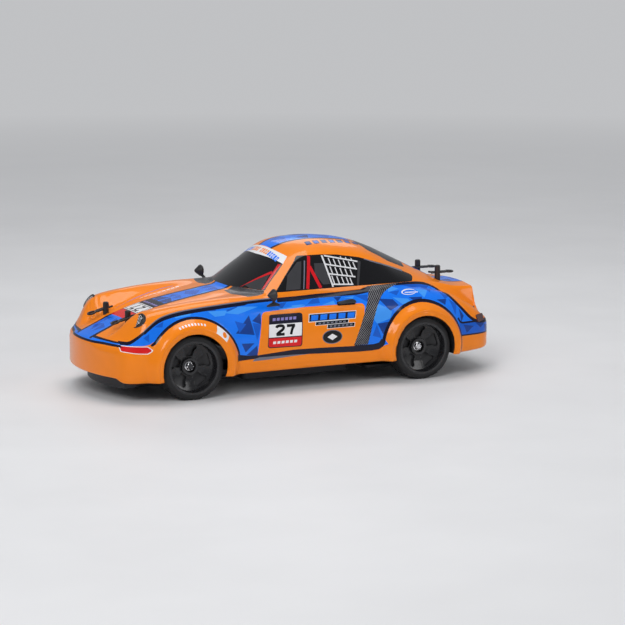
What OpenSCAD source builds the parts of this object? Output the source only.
// Radio controlled touring car, 1:10 class. Millimetres, +X to the nose, +Y to the left, +Z up.
// The origin is on the ground under the middle of the bounding box.

/* [Body shell] */
// Wall thickness of the moulded body shell
shell_wall = 2; // [1.6:0.1:2.4]
// Height of the roof above the ground
roof_h = 145.6; // [142:0.1:148]
// Half width of the shell at the doors
door_half_w = 85; // [83:0.5:87]
// How far the front wheel arch flare stands out
flare_front = 7.4; // [5:0.1:8]
// How far the rear wheel arch flare stands out
flare_rear = 7; // [5:0.1:7.5]
// Radius of the wheel arch openings
arch_r = 34.6; // [34:0.1:36]
// Radius of a headlamp insert
lamp_r = 8.6; // [7:0.1:9.5]

/* [Wheels] */
// Radius of a tyre
tyre_r = 32.5; // [31:0.1:33]
// Radius of the rim under the tyre
rim_r = 26; // [25:0.1:27]
// Width of a wheel
wheel_w = 26; // [24:0.5:26]
// Number of spokes on a wheel
spokes = 5; // [5:1:6]
// Inner face of the front wheels from the centre line
front_in = 59; // [59:0.5:60]
// Inner face of the rear wheels from the centre line
rear_in = 62; // [62:0.5:63]

/* [Chassis] */
// Height of the underside of the chassis above the ground
ride_h = 8; // [7:0.5:9]
// Thickness of the chassis floor
floor_t = 3; // [2.5:0.1:3.5]
// Half width of the chassis tub
tub_half_w = 44; // [42:0.5:46]
// Height of the rim of the tub above the ground
tub_top = 31; // [30:0.5:33]
// Radius of a body post
post_r = 3; // [2.6:0.1:3.1]

/* [Steering] */
// Radius of a kingpin
kingpin_r = 1.5; // [1.4:0.05:1.6]
// Distance of a kingpin from the centre line
kingpin_y = 50; // [49.5:0.5:50.5]
// Length of a steering arm, kingpin to track rod pin
steer_arm = 20; // [19.5:0.5:20.5]

/* [Drive] */
// Radius of the drive axle and of the stub axles
axle_r = 2.5; // [2.3:0.1:2.6]
// Teeth on the axle gear
axle_teeth = 38; // [38:1:38]
// Teeth on the small wheel of the compound gear
comp_small_teeth = 14; // [14:1:14]
// Teeth on the large wheel of the compound gear
comp_big_teeth = 42; // [42:1:42]
// Teeth on the motor pinion
pinion_teeth = 12; // [12:1:12]
// Radius of the motor can
motor_r = 13.8; // [13:0.1:14]

/* [Hidden] */
$fn = 48;

front_x = 134;                 // front axle
rear_x = -123;                 // rear axle
axle_z = tyre_r;
floor_z = ride_h + floor_t;    // top of the chassis floor
servo_x = front_x - 40;        // servo shaft
bush_r = 4;                    // outside of the axle bushes
front_post = [front_x + 48, 29.6];
rear_post = [front_x - 309, 22];
spring_at = [-108, 40];
pivot_x = -66;                 // cross pin between tub and rear subframe
pivot_z = 18;
pivot_lug_r = 4.6;

// screw places, [x, y]
cover_screws = [for (x = [-52, 56], y = [36, -36]) [x, y]];
servo_screws = [for (x = [servo_x - 26, servo_x + 10], y = [6, -6]) [x, y]];
block_screws = [[148, 10], [148, -10]];
bumper_screws = [[172, 14], [172, -14]];
all_screws = concat(cover_screws, servo_screws, block_screws, bumper_screws);

black = [0.05, 0.05, 0.05];
soft_black = [0.07, 0.07, 0.08];
part_grey = [0.09, 0.09, 0.1];
case_grey = [0.12, 0.12, 0.13];
gear_white = [0.9, 0.9, 0.86];
bronze = [0.75, 0.6, 0.3];
red = [0.75, 0.1, 0.08];

// ---- helpers -------------------------------------------------------------
module right() mirror([0, 1, 0]) children();
module both_sides() for (m = [0, 1]) mirror([0, m, 0]) children();
// at point [x, y] and height z, on both sides of the car
module at_pair(point, z) both_sides() translate([point[0], point[1], z]) children();
module at_each(points, z) for (p = points) translate([p[0], p[1], z]) children();
// turns +Z to +Y
module along_y() rotate([-90, 0, 0]) children();
// extrudes an outline drawn in the X-Z plane from y0 to y1
module extrude_y(y0, y1) translate([0, y1, 0]) rotate([90, 0, 0]) linear_extrude(y1 - y0) children();
module cyl_y(x, z, r, y0, y1) translate([x, y0, z]) along_y() cylinder(r = r, h = y1 - y0);
module cyl_z(x, y, r, z0, z1) translate([x, y, z0]) cylinder(r = r, h = z1 - z0);
module bar(x0, x1, y0, y1, z0, z1) translate([x0, y0, z0]) cube([x1 - x0, y1 - y0, z1 - z0]);
// flat plate with its upright corners rounded by r
module plate(x0, x1, y0, y1, z0, z1, r) translate([0, 0, z0]) linear_extrude(z1 - z0) {
    translate([x0 + r, y0]) square([x1 - x0 - 2*r, y1 - y0]);
    translate([x0, y0 + r]) square([x1 - x0, y1 - y0 - 2*r]);
    for (x = [x0 + r, x1 - r], y = [y0 + r, y1 - r]) translate([x, y]) circle(r);
}
// upright cylinder with a bore that starts 1 below its base
module sleeve(r, h, bore_r, bore_h) difference() {
    cylinder(r = r, h = h);
    translate([0, 0, -1]) cylinder(r = bore_r, h = bore_h);
}

// ---- body shell tables ---------------------------------------------------
// Columns are [station, value]. A station is measured back from the front axle,
// from the nose (-88) to the tail (356).
// bonnet and deck height on the centre line, ending in the ducktail
deck_height = [[-88,54.5],[-87.4,56.6],[-86,58.6],[-81,61.2],[-70,66],[-49,75],[-30,81.3],
    [-10,86.6],[15,91.3],[40,95.3],[62,98.5],[90,100],[240,99],[270,97.5],[290,95.5],[305,92.6],
    [318,89.6],[330,88.4],[341,88],[342.5,86],[344,74],[346.5,66],[349,60.8],[353,58.4],
    [355,55.4],[356,50]];
wing_height = [[-88,51],[-86.5,55.5],[-82,59.5],[-76,66],[-70,75],[-64,82.5],[-58,87],[-50,90.2],
    [-35,92.8],[-10,95.6],[20,98],[50,99.3],[90,99.5],[220,98.5],[250,95.5],[275,91.5],[300,85.5],
    [320,77.5],[338,67.5],[347,61],[353,57],[355,54],[356,49]];
// half width relative to the doors
width_change = [[-88,-19],[-87.3,-14.5],[-85.5,-10.5],[-81,-7],[-74,-4.2],[-64,-2],[-40,0.3],[0,1],
    [60,0.3],[110,0],[150,0.8],[190,2.5],[230,5],[257,6],[285,5],[310,1.8],[330,-2],[342,-5.5],
    [349,-9],[353.5,-14],[355.3,-18.5],[356,-23]];
lower_edge = [[-88,25],[-87.2,22.4],[-85,20.8],[-80,20.4],[-40,21],[60,22],[200,22.5],[310,24],
    [345,25],[352,26],[355,28.6],[356,32]];
// windscreen, roof and fastback on the centre line, relative to the roof height
roof_line = [[56,-53.6],[70,-42.8],[94,-24.8],[112,-11.8],[120,-7],[130,-3.2],[145,-0.7],[162,0],
    [190,-2.2],[213,-7.2],[232,-14],[248,-21.6],[265,-30],[280,-37.6],[297,-45.8],[312,-54.1],
    [330,-65.6]];
// half width of the cabin at the belt
cabin_width = [[60,72.5],[86,73],[150,74],[200,73.5],[230,70],[255,64.5],[280,57],[300,50],[330,44]];
// how far the roof falls away 50 from the centre line
roof_crown = [[70,2.5],[100,5],[130,8.5],[200,9.5],[250,9],[300,7],[330,5]];
// distance from the centre line where the bonnet ends, and where the wing crest starts
bonnet_end = [[-88,22],[-60,37],[90,40],[250,40],[305,44],[345,45],[356,30]];
crest_start = [[-88,42],[-60,57],[90,62],[250,60],[305,55],[341,53],[345,60],[356,60]];
// side profile of the flank: [height, offset]
flank_profile = [[10,-7],[16,-5.2],[22,-3.2],[32,-0.8],[45,0],[60,-0.6],[72,-2.2],[84,-5.2],
    [94,-9],[104,-13.5],[120,-22],[150,-40]];
outer_stations = concat([-88, -87.4, -86, -82.5, -76, -69, -60, -50, -40],
    [for (k = [0:6]) -30 + 15 * k],
    [68, 77, 88, 100, 112, 126, 145, 168],
    [for (k = [0:7]) 190 + 15 * k],
    [308, 320, 332, 340.8, 342, 343.4, 346, 349.5, 353, 355, 356]);
// drawn together at both ends to leave the end walls
inner_stations = [for (s = outer_stations)
    s < -76 ? -76 + (s + 76) * 0.8 : s > 326 ? 326 + (s - 326) * 0.88 : s];

// ---- body shell surface --------------------------------------------------
pole_z = 30;            // height of the pole the sections are swept around
section_steps = 19;     // steps from the lower edge to the centre line
cabin_lean = 0.66;      // inward lean of the cabin side, per unit of height
belt_z = 100;

function clamp(x, a, b) = min(max(x, a), b);
function smooth_step(a, b, x) = let(t = clamp((x - a) / (b - a), 0, 1)) t * t * (3 - 2 * t);
function smooth_min(a, b, k) = (a + b - sqrt((a - b) * (a - b) + k * k)) / 2;
function smooth_max(a, b, k) = (a + b + sqrt((a - b) * (a - b) + k * k)) / 2;
function slope(table, i) = (table[i + 1][1] - table[i][1]) / (table[i + 1][0] - table[i][0]);
function tangent(table, i) =
    i == 0 ? slope(table, 0)
    : i == len(table) - 1 ? slope(table, i - 1)
    : let(a = slope(table, i - 1), b = slope(table, i)) a * b <= 0 ? 0 : 2 * a * b / (a + b);
// smooth monotone curve through the rows of a table
function curve(table, at) = let(
    x = clamp(at, table[0][0], table[len(table) - 1][0]),
    k = max([for (q = [0:len(table) - 2]) x >= table[q][0] ? q : 0]),
    h = table[k + 1][0] - table[k][0],
    t = (x - table[k][0]) / h)
    (2*t*t*t - 3*t*t + 1) * table[k][1] + (t*t*t - 2*t*t + t) * h * tangent(table, k)
    + (3*t*t - 2*t*t*t) * table[k + 1][1] + (t*t*t - t*t) * h * tangent(table, k + 1);

// [angle, distance] of a section point seen from the pole
function polar(y, z) = [atan2(z - pole_z, y), norm([z - pole_z, y])];
// shift that bows the nose and tail in plan
function bow(s, y) = (26 * pow(clamp(-s / 88, 0, 1), 1.3)
    - 20 * pow(clamp((s - 270) / 86, 0, 1), 1.3)) * y * y / 8100;
// each flare fades out between two distances from its axle
function flare(s, z) =
    flare_front * (1 - smooth_step(41, 51, norm([s, z - axle_z])))
    + flare_rear * (1 - smooth_step(40, 49, norm([s - (front_x - rear_x), z - axle_z])));
function flank_y(s, z) = door_half_w + curve(width_change, s) + curve(flank_profile, z);

// polar outlines of one half section: bonnet and wing, flank, roof
function deck_outline(s) = let(
    deck = curve(deck_height, s),
    wing = curve(wing_height, s),
    y0 = curve(bonnet_end, s),
    y1 = curve(crest_start, s))
    [for (k = [20:-1:0]) let(
        y = 6 * k,
        z = deck + (wing - deck) * smooth_step(y0, y1, y)
            - 1.2 * pow(min(y, 40) / 40, 2) - 0.035 * pow(max(y - 66, 0), 2))
        polar(y, max(pole_z + 0.5, z))];
function flank_outline(s) = [for (k = [0:24]) let(z = 8 + 6 * k) polar(flank_y(s, z), z)];
function roof_outline(s) = let(
    screen_bow = 17 * (1 - smooth_step(105, 150, s)),
    rear_bow = 12 * smooth_step(200, 245, s),
    crown = curve(roof_crown, s))
    [for (k = [20:-1:0]) let(
        y = 5 * k,
        bowed = s - screen_bow * pow(y / 72, 2) + rear_bow * pow(y / 60, 2),
        z = roof_h + curve(roof_line, bowed) - crown * pow(y / 50, 2))
        polar(y, max(pole_z + 0.5, z))];

// left half section, from the lower edge to the centre line, pulled in by inset
function half_section(s, inset) = let(
    edge_z = curve(lower_edge, s),
    start = atan2(edge_z - pole_z, flank_y(s, edge_z)),
    deck = deck_outline(s),
    flank = flank_outline(s),
    roof = roof_outline(s),
    cabin = curve(cabin_width, s),
    cabin_share = smooth_step(56, 62, s) * (1 - smooth_step(318, 330, s)))
    [for (j = [0:section_steps]) let(
        angle = start + (90 - start) * j / section_steps,
        body = smooth_min(lookup(angle, deck), lookup(angle, flank), 7),
        leaning_side = (cabin + cabin_lean * (belt_z - pole_z))
            / max(cos(angle) + cabin_lean * sin(angle), 0.05),
        upper = smooth_min(lookup(angle, roof), leaning_side, 5),
        house = smooth_min(upper, cabin / max(cos(angle), 0.02), 2),
        r = smooth_max(body, house * cabin_share + 10 * (1 - cabin_share), 1.6) - inset,
        y = j == section_steps ? 0 : r * cos(angle),
        z = pole_z + r * sin(angle),
        bowed = s + bow(s, y))
        [front_x - bowed, y + flare(bowed, z) * smooth_step(60, 78, y), z]];
// both halves; drop adds a point that far below each lower edge
function full_section(half, drop) = let(
    left = drop > 0 ? concat([half[0] - [0, 0, drop]], half) : half)
    concat(left, [for (j = [len(left) - 2:-1:0]) [left[j][0], -left[j][1], left[j][2]]]);

module loft(stations, inset, drop) {
    sections = [for (s = stations) full_section(half_section(s, inset), drop)];
    size = len(sections[0]);
    half = floor(size / 2);
    last = (len(sections) - 1) * size;
    nose_cap = concat(
        [for (j = [0:half - 2]) each
            [[j, size - 1 - j, size - 2 - j], [j, size - 2 - j, j + 1]]],
        [[half - 1, size - half, half]]);
    tail_cap = [for (f = nose_cap) [last + f[0], last + f[2], last + f[1]]];
    skin = [for (i = [0:size:last - size], j = [0:size - 1]) let(k = (j + 1) % size) each
        [[i + j, i + k, i + size + k], [i + j, i + size + k, i + size + j]]];
    polyhedron(points = [for (section = sections) each section],
        faces = concat(skin, nose_cap, tail_cap));
}

// ---- body shell and its fittings -----------------------------------------
module lamp_place() translate([front_x + 51.5, 66, 81]) rotate([0, 0, 6]) rotate([0, 52, 0]) children();
module tail_place()
    translate([front_x - 331, 75, 57.2]) rotate([0, 0, -56]) rotate([0, -72, 0]) children();
// pad that widens upwards
module pad(bottom_r, top_r, rise, top_h) hull() {
    cylinder(r = bottom_r, h = 1, $fn = 24);
    translate([0, 0, rise]) cylinder(r = top_r, h = top_h, $fn = 24);
}

module body_shell() color([1, 0.55, 0.08]) difference() {
    union() {
        difference() {
            loft(outer_stations, 0, 0);
            loft(inner_stations, shell_wall, 8);
        }
        // pads under the post holes and behind the lamps
        at_pair(front_post, 70.5) pad(6, 7, 2.2, 1);
        at_pair(rear_post, 87) pad(6, 7, 2.2, 1);
        both_sides() {
            lamp_place() translate([0, 0, -3.2]) pad(lamp_r + 1.2, lamp_r + 1.6, 1, 1.4);
            // round-ended ridge under the mirror
            translate([front_x - 88, 74.6, 87]) hull() {
                sphere(r = 2, $fn = 12);
                translate([-14, 0.4, 0]) sphere(r = 2, $fn = 12);
            }
        }
    }
    at_pair(front_post, 60) cylinder(r = post_r + 0.4, h = 30, $fn = 32);
    at_pair(rear_post, 80) cylinder(r = post_r + 0.4, h = 30, $fn = 32);
    both_sides() {
        for (x = [front_x, rear_x]) cyl_y(x, axle_z, arch_r, 50, 120);
        lamp_place() translate([0, 0, -12]) cylinder(r = lamp_r + 0.25, h = 40, $fn = 40);
        tail_place() translate([-4.2, -7.2, -8]) cube([8.4, 14.4, 30]);
    }
}

lens_depth = 18;    // depth of the lens sphere's centre below the rim of the lamp
module headlight_left() color([0.05, 0.05, 0.06]) lamp_place() {
    translate([0, 0, -3.4]) cylinder(r = lamp_r, h = 4.2);
    translate([0, 0, -3.4]) cylinder(r = lamp_r - 2, h = 0.6);
    intersection() {
        translate([0, 0, 0.8]) cylinder(r = lamp_r, h = 4);
        translate([0, 0, 0.8 - lens_depth]) sphere(r = norm([lens_depth, lamp_r]));
    }
}
module headlight_right() right() headlight_left();
module tail_light_left() color([0.7, 0.1, 0.08]) tail_place() plate(-4, 4, -7, 7, -3.4, 0.4, 1.5);
module tail_light_right() right() tail_light_left();

module ball(place, r) translate(place) sphere(r = r, $fn = 12);
module mirror_left() color(black) translate([front_x - 85, 91, 101]) {
    // head
    hull() {
        translate([0.5, 0, 0]) scale([0.5, 1, 1]) sphere(r = 6.2, $fn = 20);
        translate([5, 0, 0]) sphere(r = 2.4, $fn = 16);
    }
    // stalk
    hull() {
        ball([0, -1, -4], 1.6);
        ball([-3, -8.2, -9.5], 1.4);
    }
    // foot
    hull() {
        ball([3.5, -8.3, -12.3], 1.1);
        ball([-9, -8.1, -11.8], 1.1);
        ball([-3, -8.4, -9.2], 1.2);
    }
}
module mirror_right() right() mirror_left();

// ---- chassis -------------------------------------------------------------
tub_x0 = -58;
tub_x1 = 62;
tub_wall = 2.5;
tub_corner = 5;
bay_x0 = -48;                   // battery bay opening
bay_x1 = 24;
bay_half_w = 19.5;
hinge_x = bay_x1 + 3.2;         // battery door hinge
hinge_z = ride_h + 1.5;
switch_at = [44, -30];
antenna_at = [52, 24];

module chassis_tub() color(soft_black) difference() {
    union() {
        plate(tub_x0, tub_x1, -tub_half_w, tub_half_w, ride_h, tub_top, tub_corner);
        plate(50, 176, -32, 32, ride_h, floor_z, 6);
        both_sides() {
            // ribs beside the front plate
            bar(60, 118, 28.5, 30.5, floor_z - 0.5, floor_z + 6);
            // lugs for the subframe pivot
            extrude_y(30, 35) {
                translate([pivot_x, pivot_z]) circle(pivot_lug_r);
                translate([pivot_x, pivot_z - pivot_lug_r]) square([12, 2 * pivot_lug_r]);
            }
        }
    }
    // inside of the tub
    plate(tub_x0 + tub_wall, tub_x1 - tub_wall, tub_wall - tub_half_w, tub_half_w - tub_wall,
        floor_z, floor_z + 60, tub_corner - tub_wall);
    // battery bay and its hinge slots
    bar(bay_x0, bay_x1, -bay_half_w, bay_half_w, ride_h - 1, floor_z + 1);
    both_sides() bar(bay_x1 - 1, bay_x1 + 5.2, 3.7, 8.3, ride_h - 1, floor_z + 1);
    cyl_y(hinge_x, hinge_z, 1.05, -10.5, 10.5);
    // switch slot
    translate([switch_at[0], switch_at[1], 0]) bar(-4.6, 4.6, -2.1, 2.1, ride_h - 1, floor_z + 1);
    cyl_y(pivot_x, pivot_z, 2, -36, 36);
    at_each(all_screws, ride_h - 1) cylinder(r = 1.4, h = 20);
    at_each(all_screws, ride_h - 1) cylinder(r = 2.6, h = 2.3);
}
module electronics_cover() color([0.1, 0.1, 0.11]) {
    difference() {
        union() {
            plate(tub_x0, tub_x1, -tub_half_w, tub_half_w, tub_top, tub_top + 2, tub_corner);
            plate(-42, 46, -30, 30, tub_top + 1, tub_top + 6, 8);
            for (x = [-30:12:30]) bar(x - 1.5, x + 1.5, -22, 22, tub_top + 5.5, tub_top + 7.2);
        }
        plate(-40, 44, -28, 28, tub_top - 1, tub_top + 4, 6);
        cyl_z(antenna_at[0], antenna_at[1], 1.5, tub_top - 1, tub_top + 9);
    }
    // corner legs that take the cover screws
    at_each(cover_screws, floor_z) sleeve(3, tub_top - floor_z + 0.5, 1.1, 12);
}
module front_bumper() color([0.06, 0.06, 0.07]) difference() {
    union() {
        plate(160, 200, -26, 26, floor_z, floor_z + 3, 6);
        // bowed bar
        translate([0, 0, floor_z]) linear_extrude(9.8) intersection() {
            difference() {
                translate([88, 0]) circle(118, $fn = 96);
                translate([84, 0]) circle(110, $fn = 96);
            }
            translate([176, -50]) square([60, 100]);
        }
        for (y = [-20, 0, 20]) bar(178, 198, y - 1.2, y + 1.2, floor_z + 2.5, floor_z + 9);
        at_pair(front_post, floor_z) cylinder(r = 6, h = 8);
    }
    at_pair(front_post, floor_z + 2) cylinder(r = post_r + 0.02, h = 20);
    at_each(bumper_screws, floor_z - 1) cylinder(r = 1.1, h = 6);
}
module rear_body_brace() color(soft_black) difference() {
    union() {
        // riser on the back wall of the tub
        bar(-70.5, tub_x0, -28, 28, 56, 63);
        plate(-190, -60, -28, 28, 60, 63, 6);
        plate(-118, -98, -46, 46, 60, 63, 5);
        both_sides() {
            bar(-64, tub_x0, 21, 28, 27, 60);
            bar(-60.4, tub_x0, 12, 28, 22, 40);
            bar(-184, -64, 24.5, 26.5, 62, 67);
        }
        // spring seats and post sockets
        at_pair(spring_at, 47.2) cylinder(r = 5.4, h = 13);
        at_pair(spring_at, 44) cylinder(r = 3, h = 4);
        at_pair(rear_post, 58) cylinder(r = 6, h = 9);
    }
    at_pair(rear_post, 59) cylinder(r = post_r + 0.02, h = 20);
    cyl_z(-88, 0, 11, 50, 70);
    cyl_z(-150, 0, 9, 50, 70);
}

// ---- body posts and clips ------------------------------------------------
wire_r = 1.05;             // clip wire
front_clip_z = 79.1;
front_clip_pitch = 15;
rear_clip_z = 99.2;

// posts from z0 to z1, cross-drilled for the clips, each with a collar
module body_posts(place, z0, z1, clip_z, pitch, collar_z, collar_h) at_pair(place, 0) {
    difference() {
        union() {
            cyl_z(0, 0, post_r, z0, z1 - 1);
            translate([0, 0, z1 - 1]) cylinder(r1 = post_r, r2 = post_r - 0.8, h = 1);
        }
        translate([0, 0, clip_z]) rotate([0, 90 + pitch, 0]) cyl_z(0, 0, wire_r + 0.2, -6, 6);
    }
    translate([0, 0, collar_z]) sleeve(5.2, collar_h, post_r - 0.5, 6);
}
module front_body_posts() color(black)
    body_posts(front_post, floor_z + 2.2, 86, front_clip_z, front_clip_pitch, 66.6, 3.4);
module rear_body_posts() color(black) body_posts(rear_post, 59.2, 107, rear_clip_z, 0, 82.6, 4);

module wire_leg(x, y, length)
    translate([x, y, 0]) rotate([0, 90, 0]) cylinder(r = wire_r, h = length, $fn = 24);
module wire_section(bend_r) translate([bend_r, 0]) circle(wire_r, $fn = 24);
// spring wire clip: straight leg through the post, a curved leg beside it and a finger ring
module clip() color([0.06, 0.06, 0.06]) {
    bend_r = 2.4;
    curl_r = 6;
    wire_leg(-7, 0, 15.5);
    translate([-7, 0, 0]) sphere(r = wire_r, $fn = 24);
    translate([8.5, bend_r, 0]) rotate([0, 0, -90]) rotate_extrude(angle = 180) wire_section(bend_r);
    wire_leg(-1, 2 * bend_r, 9.5);
    translate([-1, 2 * bend_r + curl_r, 0]) rotate([0, 0, -90])
        rotate_extrude(angle = -62) wire_section(curl_r);
    translate([15, bend_r, 0]) rotate_extrude() wire_section(4);
}
module body_clip_front_left()
    translate([front_post[0], front_post[1], front_clip_z]) rotate([0, front_clip_pitch, 0]) clip();
module body_clip_front_right() right() body_clip_front_left();
module body_clip_rear_left()
    translate([rear_post[0], rear_post[1], rear_clip_z]) rotate([0, 0, 180]) clip();
module body_clip_rear_right() right() body_clip_rear_left();

// ---- power and control ---------------------------------------------------
cell_y = 9.3;
cell_len = 66;
door_gap = 0.35;
board_top = 10.6;          // above the chassis floor

module battery_pack() color([0.1, 0.35, 0.2]) {
    for (y = [-cell_y, cell_y]) translate([-46.5, y, floor_z + 9.6]) rotate([0, 90, 0]) {
        cylinder(r = 9.2, h = cell_len);
        translate([0, 0, cell_len]) cylinder(r = 3, h = 1.2);
    }
    bar(-46, 19, -cell_y, cell_y, floor_z + 1, floor_z + 3.4);
}
module battery_door() color([0.08, 0.08, 0.09]) difference() {
    union() {
        bar(bay_x0 + door_gap, bay_x1 - door_gap, door_gap - bay_half_w, bay_half_w - door_gap,
            ride_h, ride_h + 2.4);
        // hinge tabs and pins
        for (y = [-6, 6]) {
            bar(bay_x1 - 2, hinge_x, y - 2, y + 2, ride_h + 0.5, ride_h + 2.5);
            cyl_y(hinge_x, hinge_z, 1, y - 2, y + 2);
            cyl_y(hinge_x, hinge_z, 1, y - 3.6, y + 3.6);
        }
        // lip at the rear edge
        bar(bay_x0 + door_gap, bay_x0 + 1.3, -5, 5, ride_h + 2, ride_h + 4.6);
    }
    for (x = [-38:8:10]) bar(x, x + 2, -13, 13, ride_h - 1, ride_h + 0.8);
}
module power_switch_body() color([0.15, 0.15, 0.16])
    translate([switch_at[0], switch_at[1], floor_z]) difference() {
        bar(-8, 8, -4.5, 4.5, 0, 7);
        bar(-4.8, 4.8, -2.3, 2.3, -1, 3.5);
    }
module power_switch_knob() color(red) translate([switch_at[0], switch_at[1], 0]) {
    bar(-4.2, -0.2, -1.7, 1.7, ride_h - 0.6, floor_z + 3);
    for (x = [-3.6, -2.4, -1.2]) bar(x - 0.2, x + 0.2, -1.5, 1.5, ride_h - 1, ride_h - 0.5);
}
module receiver_board() color([0.05, 0.35, 0.15]) translate([0, 0, floor_z]) {
    bar(30, 56, -24, 31, 9, board_top);
    // standoffs
    for (x = [33, 53], y = [-20, 28]) cyl_z(x, y, 2, 0, 9);
    // components
    bar(35, 45, -6, 4, board_top, board_top + 1.6);
    bar(34, 40, 12, 22, board_top, board_top + 4.4);
    bar(46, 53, -18, -6, board_top, board_top + 3);
    cyl_z(49, 10, 3, board_top, board_top + 7.5);
    cyl_z(50.5, 2, 2, board_top, board_top + 5);
}
module antenna_wire() color(black)
    translate([antenna_at[0], antenna_at[1], floor_z + board_top]) {
        antenna_r = 0.9;
        bend_r = 6;
        length = 26;    // of each straight part
        cylinder(r = antenna_r, h = length);
        translate([-bend_r, 0, length]) rotate([90, 0, 0])
            rotate_extrude(angle = 90) translate([bend_r, 0]) circle(antenna_r);
        translate([-bend_r - length, 0, length + bend_r]) rotate([0, 90, 0])
            cylinder(r = antenna_r, h = length);
    }

// ---- steering ------------------------------------------------------------
rod_z = 31;                       // underside of the track rod
pin_top = rod_z + 4;
pin_r = 1.5;
track_x = front_x - steer_arm;    // track rod

module steering_servo() color([0.08, 0.08, 0.1]) {
    translate([servo_x, 0, floor_z]) {
        plate(-23.6, 7.6, -10, 10, 0, 15, 1.5);
        plate(-28.4, 12.4, -9, 9, 9.5, 11.3, 1.5);
        // shaft
        cyl_z(0, 0, 5, 14, 15.6);
        cyl_z(0, 0, 2, 14, 19.5);
    }
    at_each(servo_screws, floor_z) sleeve(2.2, 9.6, 1.1, 8);
}
module servo_horn() color([0.85, 0.85, 0.82]) translate([servo_x, 0, floor_z + 16]) difference() {
    union() {
        cylinder(r = 4.5, h = 3.4);
        linear_extrude(2.6) {
            translate([0, -2.5]) square([steer_arm, 5]);
            translate([steer_arm, 0]) circle(3);
        }
        cyl_z(steer_arm, 0, pin_r, 0, pin_top - floor_z - 16);
    }
    cyl_z(0, 0, 2.05, -1, 5);
}
// slot outline along X, its round ends centred half_len either side of x
module slot(x, y, r, half_len) translate([x, y]) {
    translate([-half_len, -r]) square([2 * half_len, 2 * r]);
    for (end = [-half_len, half_len]) translate([end, 0]) circle(r);
}
module tie_rod() color([0.1, 0.1, 0.11]) translate([track_x, 0, rod_z]) linear_extrude(3)
    difference() {
        union() {
            translate([-2.5, -kingpin_y]) square([5, 2 * kingpin_y]);
            for (y = [-kingpin_y, 0, kingpin_y]) slot(0.5, y, 4, 2.6);
        }
        for (y = [-kingpin_y, kingpin_y]) slot(0.7, y, 1.85, 1);
        slot(-0.7, 0, 1.85, 1);
    }

// ---- front axle ----------------------------------------------------------
arm_t = 3;
lower_arm_z = 19;
upper_arm_z = 43.5;

// column through both arms; gap widens it all round
module column(gap, z0, z1) plate(-2 - gap, 8 + gap, -9 - gap, 9 + gap, z0, z1, 2 + gap);
module front_axle_block() color(part_grey) difference() {
    translate([front_x, 0, 0]) {
        plate(-9, 21, -16, 16, floor_z, lower_arm_z, 3);
        column(0, lower_arm_z - 1, upper_arm_z + arm_t);
        plate(-5, 11, -14, 14, lower_arm_z + arm_t, upper_arm_z, 3);
    }
    at_each(block_screws, floor_z - 1) cylinder(r = 1.1, h = 8);
}
module arm(z0) color(soft_black) translate([front_x, 0, z0]) difference() {
    union() {
        plate(-9, 13, -18, 18, 0, arm_t, 4);
        plate(-5, 5, -kingpin_y - 5, kingpin_y + 5, 0, arm_t, 4.9);
        at_pair([0, kingpin_y], 0) cylinder(r = 5.5, h = arm_t);
    }
    at_pair([0, kingpin_y], -1) cylinder(r = kingpin_r, h = arm_t + 2);
    at_pair([0, 31], -1) cylinder(r = 3, h = arm_t + 2);
    column(0.05, -1, arm_t + 1);
}
module front_lower_arm() arm(lower_arm_z);
module front_upper_arm() arm(upper_arm_z);
module kingpins() color("silver") at_pair([front_x, kingpin_y], 0) {
    cyl_z(0, 0, kingpin_r, 17.8, 47.6);
    cyl_z(0, 0, 2.8, upper_arm_z + arm_t, 48.3);
}
module steering_knuckle_left() {
    color(part_grey) difference() {
        union() {
            cyl_z(front_x, kingpin_y, 4.6, lower_arm_z + arm_t + 0.2, upper_arm_z - 0.2);
            cyl_y(front_x, axle_z, 4.4, kingpin_y, kingpin_y + 9);
            // steering arm and its pin
            translate([track_x, kingpin_y, 27]) linear_extrude(3) {
                translate([0, -2.5]) square([steer_arm, 5]);
                circle(3);
            }
            cyl_z(track_x, kingpin_y, pin_r, 28, pin_top);
        }
        cyl_z(front_x, kingpin_y, kingpin_r + 0.06, 20, 46);
        cyl_y(front_x, axle_z, axle_r, kingpin_y + 2.2, kingpin_y + 8);
    }
    // stub axle
    color("silver") cyl_y(front_x, axle_z, axle_r, kingpin_y + 2.2, front_in + 17.2);
}
module steering_knuckle_right() right() steering_knuckle_left();

// ---- wheels: drawn for the left side with the inner face at y = 0 ---------
module at_front() translate([front_x, front_in, axle_z]) children();
module at_rear() translate([rear_x, rear_in, axle_z]) children();
function arc(r, a0, a1, x, y) = [for (k = [0:6]) let(a = a0 + (a1 - a0) * k / 6)
    [x + r * cos(a), y + r * sin(a)]];

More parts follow.
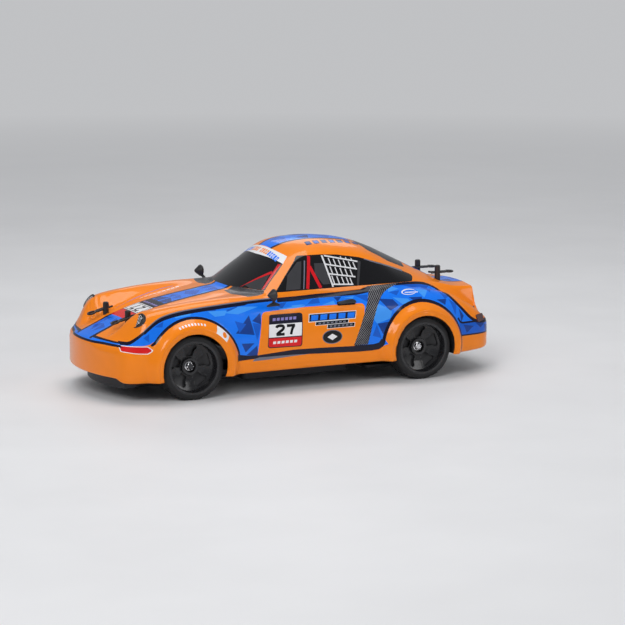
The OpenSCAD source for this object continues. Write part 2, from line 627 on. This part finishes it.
// outlines are [radius, distance from the inner face]
module wheel(bore) color(black) difference() {
    union() {
        // barrel with its two lips
        along_y() rotate_extrude() polygon([
            [rim_r - 2.2, 0], [rim_r + 1.2, 0], [rim_r + 1.2, 1], [rim_r, 1.2],
            [rim_r, wheel_w - 1.2], [rim_r + 1.2, wheel_w - 1], [rim_r + 1.2, wheel_w],
            [rim_r - 1.2, wheel_w], [rim_r - 2.2, wheel_w - 4]]);
        // spoke disc, hub and raised ring
        along_y() rotate_extrude() polygon([
            [0, 0.4], [6.4, 0.4], [6.4, 9.6], [9, 10], [16, 10.6], [rim_r - 1.5, 14],
            [rim_r - 1.5, 17.2], [16, 13.8], [9, 12.6], [8.4, 15.4], [6.2, 15.4], [6.2, 11],
            [0, 11]]);
    }
    // windows between the spokes
    for (k = [0:spokes - 1]) rotate([0, 360 / spokes * (k + 0.5), 0])
        along_y() translate([0, 0, 5]) linear_extrude(14) {
            polygon([[-6.6, 20.6], [-3.6, 10.4], [3.6, 10.4], [6.6, 20.6]]);
            for (x = [-4.6, 4.6]) translate([x, 18.9]) circle(2.6);
            for (x = [-2.6, 2.6]) translate([x, 11.4]) circle(1.5);
            translate([-4.6, 18.9]) square([9.2, 2.6]);
            translate([-2.6, 9.9]) square([5.2, 2]);
        }
    cyl_y(0, 0, bore, -1, 29);
}
module wheel_front_left() at_front() wheel(bush_r + 0.02);
module wheel_front_right() right() wheel_front_left();
module wheel_rear_left() at_rear() wheel(axle_r + 0.02);
module wheel_rear_right() right() wheel_rear_left();

module tyre() color([0.04, 0.04, 0.04]) along_y() rotate_extrude($fn = 96) polygon(concat(
    [[rim_r + 0.02, 1.4], [rim_r + 1.3, 1.2], [rim_r + 3, 0.5]],
    arc(3, -80, 0, tyre_r - 3, 3.4),
    arc(3, 0, 80, tyre_r - 3, wheel_w - 3.4),
    [[rim_r + 3, wheel_w - 0.5], [rim_r + 1.3, wheel_w - 1.2], [rim_r + 0.02, wheel_w - 1.4]]));
module tyre_front_left() at_front() tyre();
module tyre_front_right() right() tyre_front_left();
module tyre_rear_left() at_rear() tyre();
module tyre_rear_right() right() tyre_rear_left();

module front_wheel_bushes_left() color(bronze) at_front() for (y = [0.6, 7.4])
    translate([0, y, 0]) along_y() sleeve(bush_r, 3.4, axle_r + 0.05, 6);
module front_wheel_bushes_right() right() front_wheel_bushes_left();

// flanged hexagon nut with a tapered end
module nut() color("silver") along_y() difference() {
    union() {
        cylinder(r = 4.6, h = 1);
        cylinder(r = 4, h = 4.4, $fn = 6);
        translate([0, 0, 4.2]) cylinder(r1 = 3.3, r2 = 2.9, h = 0.8);
    }
    translate([0, 0, -1]) cylinder(r = axle_r + 0.02, h = 8);
}
module front_wheel_nut_left() at_front() translate([0, 11.2, 0]) nut();
module front_wheel_nut_right() right() front_wheel_nut_left();
module rear_wheel_nuts() both_sides() at_rear() translate([0, 11.05, 0]) nut();

// ---- gears ---------------------------------------------------------------
pressure_angle = 25;
backlash = 0.14;         // taken off the tooth thickness
axle_pitch = 0.8;        // gear module of the axle gear and its mate
motor_pitch = 0.6;       // gear module of the pinion and its mate
axle_mesh = 9.7;         // direction from the axle to the compound gear
motor_mesh = -8.9;       // direction from the compound gear to the motor
pin_hole_r = 1.56;
axle_spacing = (axle_teeth + comp_small_teeth) * axle_pitch / 2 + 0.02;
motor_spacing = (comp_big_teeth + pinion_teeth) * motor_pitch / 2 + 0.02;
// centres of the compound gear and of the motor
comp_x = rear_x + axle_spacing * cos(axle_mesh);
comp_z = axle_z + axle_spacing * sin(axle_mesh);
motor_x = comp_x + motor_spacing * cos(motor_mesh);
motor_z = comp_z + motor_spacing * sin(motor_mesh);

function involute(base_r, r) = let(a = acos(min(1, base_r / r))) tan(a) * 180 / PI - a;
// involute tooth outline
module gear_outline(teeth, pitch) {
    pitch_r = teeth * pitch / 2;
    base_r = pitch_r * cos(pressure_angle);
    tip_r = pitch_r + 0.88 * pitch;
    root_r = pitch_r - 1.22 * pitch;
    start_r = max(root_r + 0.05 * pitch, base_r);
    base_half = 90 / teeth - backlash / 2 / pitch_r * 180 / PI + involute(base_r, pitch_r);
    // one flank from root to tip: [radius, angle from the middle of the tooth]
    flank = concat([[root_r, base_half - involute(base_r, start_r)]],
        [for (k = [0:4]) let(r = start_r + (tip_r - start_r) * k / 4)
            [r, base_half - involute(base_r, r)]]);
    polygon([for (i = [0:teeth - 1]) let(mid = 360 * i / teeth) each concat(
        [for (f = flank) f[0] * [cos(mid - f[1]), sin(mid - f[1])]],
        [for (k = [5:-1:0]) let(f = flank[k]) f[0] * [cos(mid + f[1]), sin(mid + f[1])]])]);
}
// gear with its tooth 0 turned to an angle in the X-Z plane, from y0 to y1
module gear(x, z, teeth, pitch, angle, y0, y1, bore) difference() {
    extrude_y(y0, y1) translate([x, z]) rotate([0, 0, angle]) gear_outline(teeth, pitch);
    cyl_y(x, z, bore, y0 - 1, y1 + 1);
}
module axle_gear() color(gear_white) {
    gear(rear_x, axle_z, axle_teeth, axle_pitch, axle_mesh, 8, 13, axle_r + 0.02);
    difference() {
        cyl_y(rear_x, axle_z, 6, 4.2, 8);
        cyl_y(rear_x, axle_z, axle_r + 0.02, 3, 9);
    }
}
module compound_gear() color(gear_white) {
    gear(comp_x, comp_z, comp_big_teeth, motor_pitch, motor_mesh, 3, 7, pin_hole_r);
    gear(comp_x, comp_z, comp_small_teeth, axle_pitch,
        axle_mesh + 180 + 180 / comp_small_teeth, 7, 14, pin_hole_r);
}
module compound_gear_pin() color("silver") cyl_y(comp_x, comp_z, 1.5, -0.5, 18);
module motor_pinion() color([0.8, 0.65, 0.3]) {
    gear(motor_x, motor_z, pinion_teeth, motor_pitch,
        motor_mesh + 180 + 180 / pinion_teeth, 2.2, 8, 0.9);
    // motor shaft
    cyl_y(motor_x, motor_z, 1, -6, 9);
}

// ---- gearbox case and motor ----------------------------------------------
module case_outside() {
    translate([rear_x, axle_z]) circle(20);
    translate([comp_x, comp_z]) circle(17);
    translate([motor_x, motor_z]) circle(15.5);
    translate([rear_x - 14, 12.5]) square([26, 12]);
    translate([motor_x - 11, 12.5]) square([20, 12]);
    translate([rear_x, axle_z - 8]) square([motor_x - rear_x, 20]);
}
module case_inside() {
    translate([rear_x, axle_z]) circle(17.6);
    translate([comp_x, comp_z]) circle(14.4);
    translate([motor_x, motor_z]) circle(6.4);
    translate([comp_x, comp_z - 6]) square([motor_x - comp_x, 11]);
}
module gearbox_case_right() color(case_grey) difference() {
    extrude_y(-1, 9) case_outside();
    extrude_y(1.5, 10) case_inside();
    cyl_y(rear_x, axle_z, axle_r + 0.05, -2, 3);
    cyl_y(comp_x, comp_z, 1.5, -0.5, 3);
    cyl_y(motor_x, motor_z, 3.2, -2, 3);
}
module gearbox_case_left() color(case_grey) difference() {
    union() {
        extrude_y(9, 19) case_outside();
        cyl_y(rear_x, axle_z, 5, 18, 21);
    }
    extrude_y(8, 16.5) case_inside();
    cyl_y(rear_x, axle_z, axle_r + 0.05, 15, 22);
    cyl_y(comp_x, comp_z, 1.5, 15, 18);
}
module drive_motor() color([0.75, 0.75, 0.77]) translate([motor_x, 0, motor_z]) difference() {
    union() {
        cyl_y(0, 0, motor_r, -30, -1.1);
        cyl_y(0, 0, 10, -32.5, -30);
        cyl_y(0, 0, 3, -34.5, -32.5);
        // terminals
        for (x = [-7, 7]) bar(x - 1.2, x + 1.2, -37, -32, -0.3, 0.3);
        cyl_y(0, 0, 3, -1.2, 0.6);
    }
    cyl_y(0, 0, 1.05, -7, 3);
}

// ---- rear subframe and axle ----------------------------------------------
module rear_subframe() color(soft_black) difference() {
    union() {
        plate(-152, -75, -52, 52, 9.5, 12.5, 5);
        both_sides() {
            // axle carriers
            extrude_y(46, 52) {
                translate([rear_x, axle_z]) circle(8);
                translate([rear_x - 8, 11]) square([16, axle_z - 11]);
                translate([rear_x - 16, 11]) square([32, 8]);
            }
            // pivot lugs
            extrude_y(22, 29.4) {
                translate([pivot_x, pivot_z]) circle(pivot_lug_r);
                polygon([[-82, 11], [-64, 13.9], [pivot_x, pivot_z + pivot_lug_r],
                    [-70, pivot_z + 4.4], [-84, 14]]);
            }
        }
        at_pair(spring_at, 12) cylinder(r = 3, h = 3.5);
        // rest under the motor
        bar(motor_x - 6, motor_x + 6, -28, -3, 12, motor_z - motor_r - 0.1);
    }
    cyl_y(pivot_x, pivot_z, 2.06, -36, 36);
    both_sides() cyl_y(rear_x, axle_z, bush_r, 45, 53);
    for (x = [-140, -96], y = [-36, 30]) cyl_z(x, y, 5, 8, 14);
}
module rear_axle() color("silver") cyl_y(rear_x, axle_z, axle_r, -rear_in - 14.6, rear_in + 14.6);
module rear_axle_bushes() color(bronze) both_sides() difference() {
    union() {
        cyl_y(rear_x, axle_z, bush_r, 46, 52);
        cyl_y(rear_x, axle_z, 5.2, 52, 53);
    }
    cyl_y(rear_x, axle_z, axle_r + 0.05, 45, 54);
}
module rear_wheel_hexes() color("silver") both_sides() difference() {
    union() {
        translate([rear_x, 56, axle_z]) along_y() cylinder(r = 6.6, h = 6.2, $fn = 6);
        cyl_y(rear_x, axle_z, 5, 54, 57);
    }
    cyl_y(rear_x, axle_z, axle_r + 0.02, 53, 64);
}
module pod_pivot_pin() color("silver") {
    cyl_y(pivot_x, pivot_z, 2, -36.5, 36);
    cyl_y(pivot_x, pivot_z, 3.4, 35.2, 37);
}

// coil spring swept along a helix
module spring() color(red) {
    turn_steps = 14;
    steps = 5 * turn_steps;
    coil_r = 4.6;
    coil_wire_r = 0.75;
    z0 = 13.35;
    z1 = 46.3;
    sides = 5;    // of the wire's section
    polyhedron(
        points = [for (i = [0:steps], k = [0:sides - 1]) let(
            a = 360 * i / turn_steps,
            b = 360 * k / sides,
            r = coil_r + coil_wire_r * cos(b))
            [r * cos(a), r * sin(a), z0 + (z1 - z0) * i / steps + coil_wire_r * sin(b)]],
        faces = concat(
            [for (i = [0:steps - 1], k = [0:sides - 1]) let(n = (k + 1) % sides, o = i * sides) each
                [[o + k, o + sides + k, o + sides + n], [o + k, o + sides + n, o + n]]],
            [[for (k = [0:sides - 1]) k]],
            [[for (k = [sides - 1:-1:0]) steps * sides + k]]));
}
module rear_spring_left() translate([spring_at[0], spring_at[1], 0]) spring();
module rear_spring_right() translate([spring_at[0], -spring_at[1], 0]) spring();

// cross-head screws, driven from below
module chassis_screws() color([0.2, 0.2, 0.2]) at_each(all_screws, ride_h - 0.1) difference() {
    union() {
        cylinder(r = 2.4, h = 1.3);
        cylinder(r = 1.05, h = 7);
    }
    bar(-1.8, 1.8, -0.3, 0.3, -1, 0.6);
    bar(-0.3, 0.3, -1.8, 1.8, -1, 0.6);
}

body_shell();
headlight_left();
headlight_right();
tail_light_left();
tail_light_right();
mirror_left();
mirror_right();
chassis_tub();
electronics_cover();
front_bumper();
rear_body_brace();
front_body_posts();
rear_body_posts();
body_clip_front_left();
body_clip_front_right();
body_clip_rear_left();
body_clip_rear_right();
battery_pack();
battery_door();
power_switch_body();
power_switch_knob();
receiver_board();
antenna_wire();
steering_servo();
servo_horn();
tie_rod();
front_axle_block();
front_lower_arm();
front_upper_arm();
kingpins();
steering_knuckle_left();
steering_knuckle_right();
wheel_front_left();
wheel_front_right();
wheel_rear_left();
wheel_rear_right();
tyre_front_left();
tyre_front_right();
tyre_rear_left();
tyre_rear_right();
front_wheel_bushes_left();
front_wheel_bushes_right();
front_wheel_nut_left();
front_wheel_nut_right();
rear_subframe();
gearbox_case_left();
gearbox_case_right();
drive_motor();
motor_pinion();
compound_gear();
compound_gear_pin();
axle_gear();
rear_axle();
rear_axle_bushes();
rear_wheel_hexes();
rear_wheel_nuts();
pod_pivot_pin();
rear_spring_left();
rear_spring_right();
chassis_screws();
